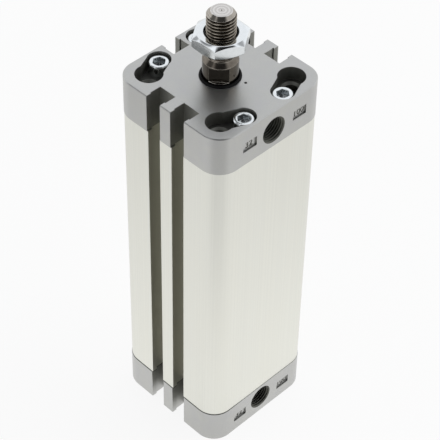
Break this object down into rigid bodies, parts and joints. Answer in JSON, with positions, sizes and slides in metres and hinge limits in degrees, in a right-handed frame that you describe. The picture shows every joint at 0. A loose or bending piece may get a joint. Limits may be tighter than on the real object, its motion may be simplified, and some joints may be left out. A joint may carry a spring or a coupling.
{
  "type": "compact pneumatic cylinder",
  "caption": "Compact double-acting air cylinder: square aluminium barrel with sensor slots, screwed end covers with side ports, and a threaded piston rod with a lock nut.",
  "frame": {"origin": "centre of the end cover's rear face, which the cylinder stands on", "axes": "+Z along the cylinder axis, towards the rod end; -Y is the side with the two ports; -X and +X carry two sensor slots each, +Y carries one"},
  "size_m": [0.049, 0.049, 0.175],
  "materials": {
    "barrel": "extruded, bead blasted and clear anodised",
    "covers": "die cast, machined and satin anodised",
    "zinc_steel": "bright zinc plated",
    "rod_steel": "ground and polished stainless steel",
    "bearing_bronze": "plain sliding bearing",
    "seal_black": "satin black polyurethane",
    "nitrile": "matt black nitrile rubber",
    "buffer": "matt dark grey elastomer",
    "piston_alloy": "turned aluminium",
    "magnet": "plastic bonded magnet",
    "guide_plastic": "filled acetal"
  },
  "bodies": {
    "housing": {"barrel": "barrel", "bearing_cap": "covers", "end_cap": "covers", "front_cap_screws": "zinc_steel", "rear_cap_screws": "zinc_steel", "rod_bush": "bearing_bronze", "rod_seal": "seal_black", "wiper_ring": "seal_black", "front_barrel_seal": "nitrile", "rear_barrel_seal": "nitrile", "front_bumper": "buffer", "rear_bumper": "buffer"},
    "piston_seals": {"front_piston_seal": "seal_black", "rear_piston_seal": "seal_black", "guide_ring": "guide_plastic"},
    "rod": {"piston_rod": "rod_steel", "front_piston_half": "piston_alloy", "rear_piston_half": "piston_alloy", "piston_nut": "zinc_steel", "piston_o_ring": "nitrile", "magnet_ring": "magnet"},
    "lock_nut": {"rod_nut": "zinc_steel"}
  },
  "joints": [
    {"name": "rod_slide", "type": "slide", "parent": "housing", "child": "piston_seals", "axis": [0, 0, 1], "range_m": [0, 0.1]},
    {"name": "rod_turn", "type": "hinge", "parent": "piston_seals", "child": "rod", "pos_m": [0, 0, 0.0237], "axis": [0, 0, 1], "continuous": true},
    {"name": "nut_travel", "type": "slide", "parent": "rod", "child": "lock_nut", "axis": [0, 0, 1], "range_m": [-0.0032, 0.0082]}
  ]
}
